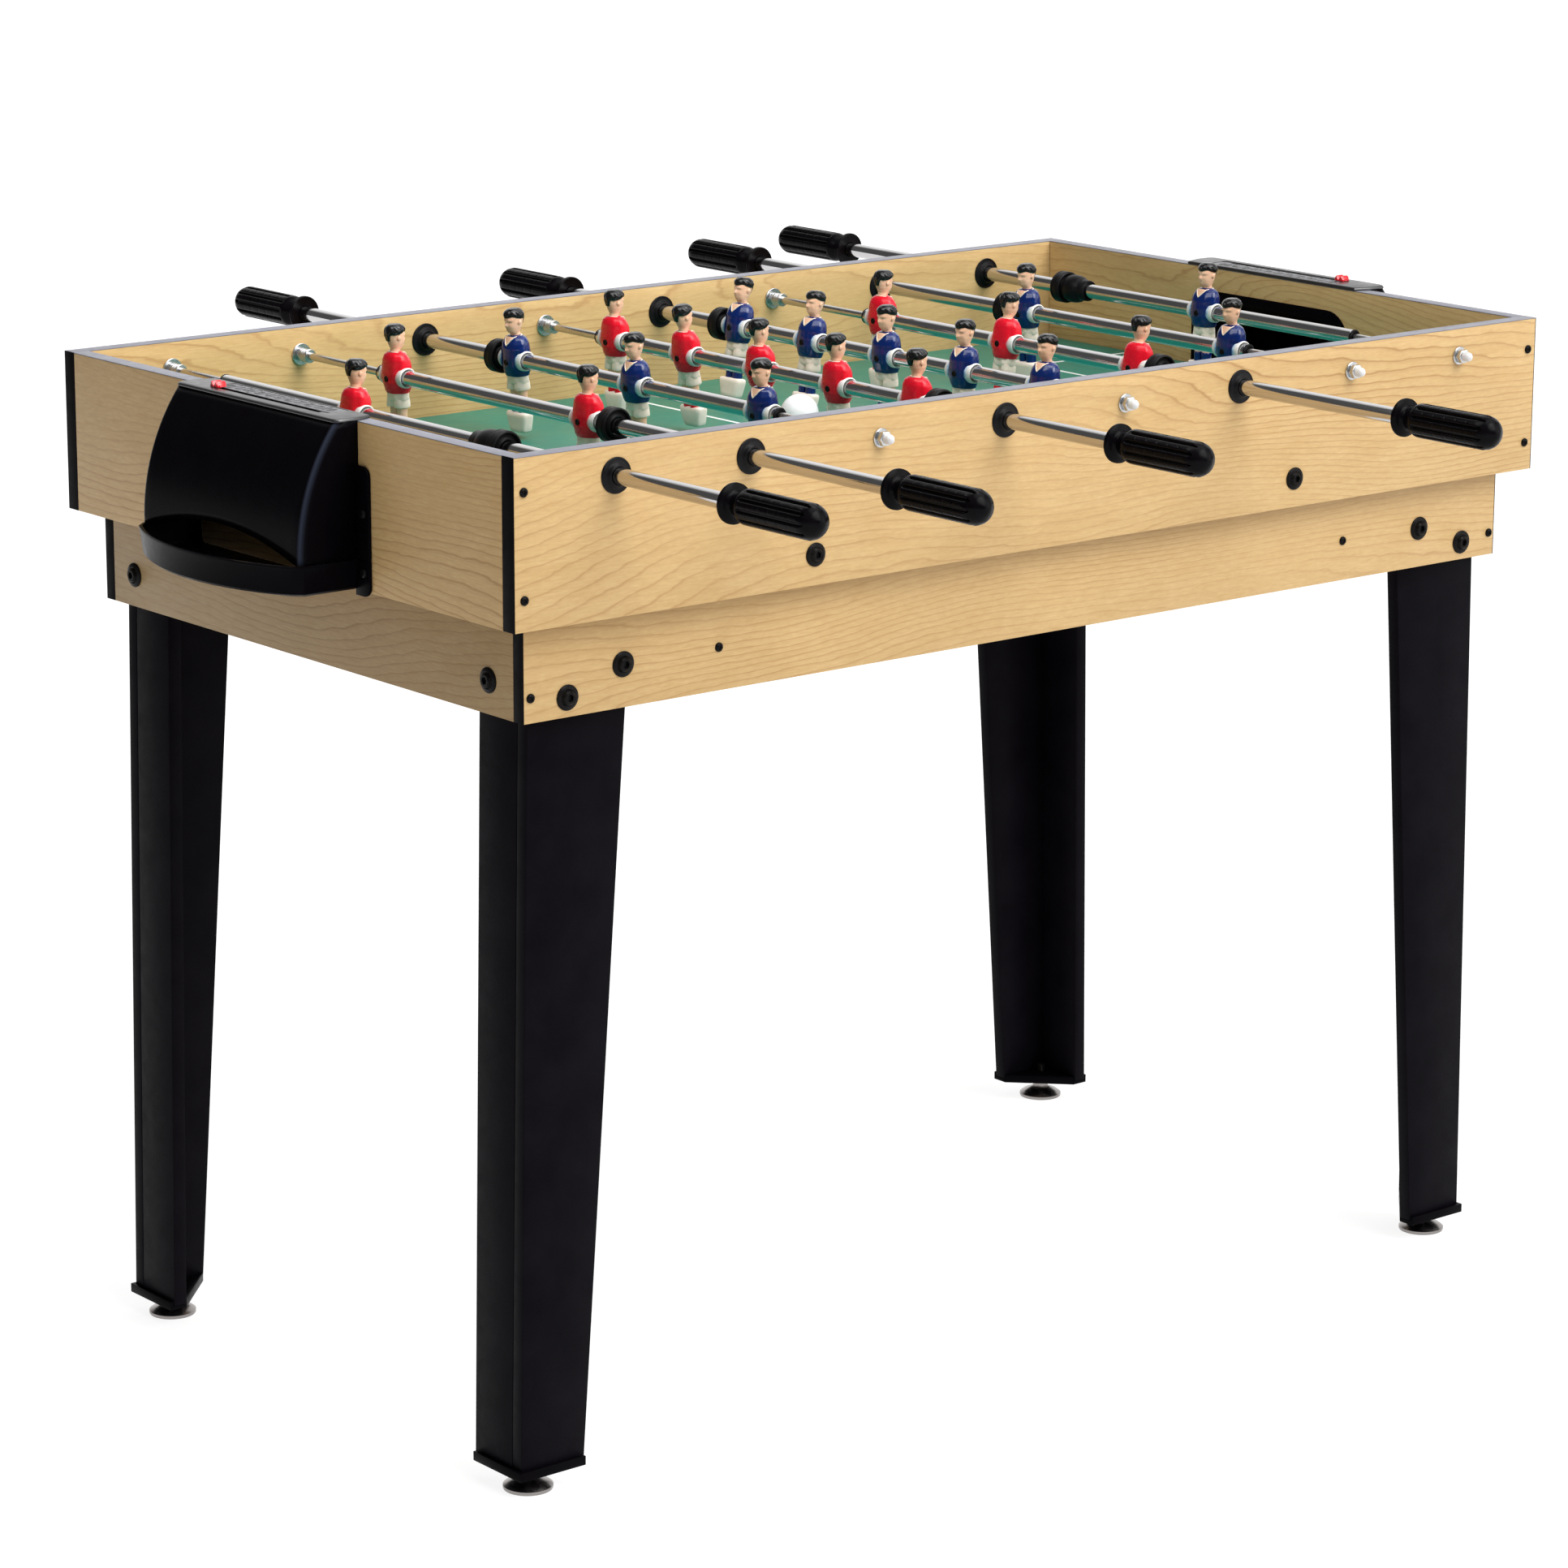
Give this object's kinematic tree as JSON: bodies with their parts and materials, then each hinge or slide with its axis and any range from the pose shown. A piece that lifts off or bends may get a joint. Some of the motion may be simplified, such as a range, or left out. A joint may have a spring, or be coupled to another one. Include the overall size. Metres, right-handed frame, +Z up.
{
  "type": "foosball table",
  "caption": "Table football game with player rods across a walled field, a scorer and ball return at each end, on splayed legs.",
  "frame": {"origin": "on the floor, under the middle of the table", "axes": "+Z up; X along the table's length, across the rods; Y along the rods; near side is -Y, left end is -X"},
  "size_m": [1.237, 1.172, 0.832],
  "materials": {
    "maple_board": "satin laminate with maple grain",
    "field": "satin printed green with white lines",
    "black_board": "satin black laminate",
    "black_plastic": "satin moulded",
    "rod_and_men": "polished tube with painted men",
    "inner_rod": "bright zinc",
    "zinc": "bright zinc",
    "red_plastic": "gloss",
    "white_plastic": "gloss"
  },
  "bodies": {
    "cabinet": {"upper_side_near": "maple_board", "upper_side_far": "maple_board", "upper_end_left": "maple_board", "upper_end_right": "maple_board", "playfield": "field", "apron_near": "maple_board", "apron_far": "maple_board", "apron_left": "maple_board", "apron_right": "maple_board", "leg_near_left": "black_board", "leg_near_right": "black_board", "leg_far_left": "black_board", "leg_far_right": "black_board", "foot_cap_near_left": "black_plastic", "foot_cap_near_right": "black_plastic", "foot_cap_far_left": "black_plastic", "foot_cap_far_right": "black_plastic", "scorer_cover_left": "black_plastic", "ball_tray_left": "black_plastic", "scorer_cover_right": "black_plastic", "ball_tray_right": "black_plastic", "inner_rod_1": "inner_rod", "inner_rod_2": "inner_rod", "inner_rod_3": "inner_rod", "inner_rod_4": "inner_rod", "inner_rod_5": "inner_rod", "inner_rod_6": "inner_rod", "inner_rod_7": "inner_rod", "inner_rod_8": "inner_rod"},
    "carriage_1": {"bumper_1": "black_plastic"},
    "player_rod_1": {"rod_1": "rod_and_men", "handle_1": "black_plastic"},
    "carriage_2": {"bumper_2": "black_plastic"},
    "player_rod_2": {"rod_2": "rod_and_men", "handle_2": "black_plastic"},
    "carriage_3": {"bumper_3": "black_plastic"},
    "player_rod_3": {"rod_3": "rod_and_men", "handle_3": "black_plastic"},
    "carriage_4": {"bumper_4": "black_plastic"},
    "player_rod_4": {"rod_4": "rod_and_men", "handle_4": "black_plastic"},
    "carriage_5": {"bumper_5": "black_plastic"},
    "player_rod_5": {"rod_5": "rod_and_men", "handle_5": "black_plastic"},
    "carriage_6": {"bumper_6": "black_plastic"},
    "player_rod_6": {"rod_6": "rod_and_men", "handle_6": "black_plastic"},
    "carriage_7": {"bumper_7": "black_plastic"},
    "player_rod_7": {"rod_7": "rod_and_men", "handle_7": "black_plastic"},
    "carriage_8": {"bumper_8": "black_plastic"},
    "player_rod_8": {"rod_8": "rod_and_men", "handle_8": "black_plastic"},
    "leveller_near_left": {"leveller_near_left": "zinc"},
    "leveller_near_right": {"leveller_near_right": "zinc"},
    "leveller_far_left": {"leveller_far_left": "zinc"},
    "leveller_far_right": {"leveller_far_right": "zinc"},
    "score_pointer_left": {"score_slider_left": "red_plastic"},
    "score_pointer_right": {"score_slider_right": "red_plastic"},
    "ball": {"ball": "white_plastic"}
  },
  "joints": [
    {"name": "rod_1_slide", "type": "slide", "parent": "cabinet", "child": "carriage_1", "axis": [0, 1, 0], "range_m": [-0.1149, 0.0645]},
    {"name": "rod_1_spin", "type": "hinge", "parent": "carriage_1", "child": "player_rod_1", "pos_m": [-0.441, 0, 0.79], "axis": [0, 1, 0], "continuous": true},
    {"name": "rod_2_slide", "type": "slide", "parent": "cabinet", "child": "carriage_2", "axis": [0, 1, 0], "range_m": [-0.1442, 0.103]},
    {"name": "rod_2_spin", "type": "hinge", "parent": "carriage_2", "child": "player_rod_2", "pos_m": [-0.315, 0, 0.79], "axis": [0, 1, 0], "continuous": true},
    {"name": "rod_3_slide", "type": "slide", "parent": "cabinet", "child": "carriage_3", "axis": [0, 1, 0], "range_m": [-0.092, 0.0976]},
    {"name": "rod_3_spin", "type": "hinge", "parent": "carriage_3", "child": "player_rod_3", "pos_m": [-0.189, 0, 0.79], "axis": [0, 1, 0], "continuous": true},
    {"name": "rod_4_slide", "type": "slide", "parent": "cabinet", "child": "carriage_4", "axis": [0, 1, 0], "range_m": [-0.0539, 0.0635]},
    {"name": "rod_4_spin", "type": "hinge", "parent": "carriage_4", "child": "player_rod_4", "pos_m": [-0.063, 0, 0.79], "axis": [0, 1, 0], "continuous": true},
    {"name": "rod_5_slide", "type": "slide", "parent": "cabinet", "child": "carriage_5", "axis": [0, 1, 0], "range_m": [-0.045, 0.0769]},
    {"name": "rod_5_spin", "type": "hinge", "parent": "carriage_5", "child": "player_rod_5", "pos_m": [0.063, 0, 0.79], "axis": [0, 1, 0], "continuous": true},
    {"name": "rod_6_slide", "type": "slide", "parent": "cabinet", "child": "carriage_6", "axis": [0, 1, 0], "range_m": [-0.0704, 0.115]},
    {"name": "rod_6_spin", "type": "hinge", "parent": "carriage_6", "child": "player_rod_6", "pos_m": [0.189, 0, 0.79], "axis": [0, 1, 0], "continuous": true},
    {"name": "rod_7_slide", "type": "slide", "parent": "cabinet", "child": "carriage_7", "axis": [0, 1, 0], "range_m": [-0.0915, 0.1624]},
    {"name": "rod_7_spin", "type": "hinge", "parent": "carriage_7", "child": "player_rod_7", "pos_m": [0.315, 0, 0.79], "axis": [0, 1, 0], "continuous": true},
    {"name": "rod_8_slide", "type": "slide", "parent": "cabinet", "child": "carriage_8", "axis": [0, 1, 0], "range_m": [-0.0925, 0.0979]},
    {"name": "rod_8_spin", "type": "hinge", "parent": "carriage_8", "child": "player_rod_8", "pos_m": [0.441, 0, 0.79], "axis": [0, 1, 0], "continuous": true},
    {"name": "leveller_near_left_turn", "type": "hinge", "parent": "cabinet", "child": "leveller_near_left", "pos_m": [-0.489, -0.2514, 0.02], "axis": [0, 0, 1], "continuous": true},
    {"name": "leveller_near_right_turn", "type": "hinge", "parent": "cabinet", "child": "leveller_near_right", "pos_m": [0.489, -0.2514, 0.02], "axis": [0, 0, 1], "continuous": true},
    {"name": "leveller_far_left_turn", "type": "hinge", "parent": "cabinet", "child": "leveller_far_left", "pos_m": [-0.489, 0.2514, 0.02], "axis": [0, 0, 1], "continuous": true},
    {"name": "leveller_far_right_turn", "type": "hinge", "parent": "cabinet", "child": "leveller_far_right", "pos_m": [0.489, 0.2514, 0.02], "axis": [0, 0, 1], "continuous": true},
    {"name": "score_left", "type": "slide", "parent": "cabinet", "child": "score_pointer_left", "axis": [0, 1, 0], "range_m": [-0.135, 0]},
    {"name": "score_right", "type": "slide", "parent": "cabinet", "child": "score_pointer_right", "axis": [0, 1, 0], "range_m": [0, 0.135]},
    {"name": "ball_roll", "type": "slide", "parent": "cabinet", "child": "ball", "axis": [0, 1, 0], "range_m": [-0.3125, 0.2371]}
  ]
}
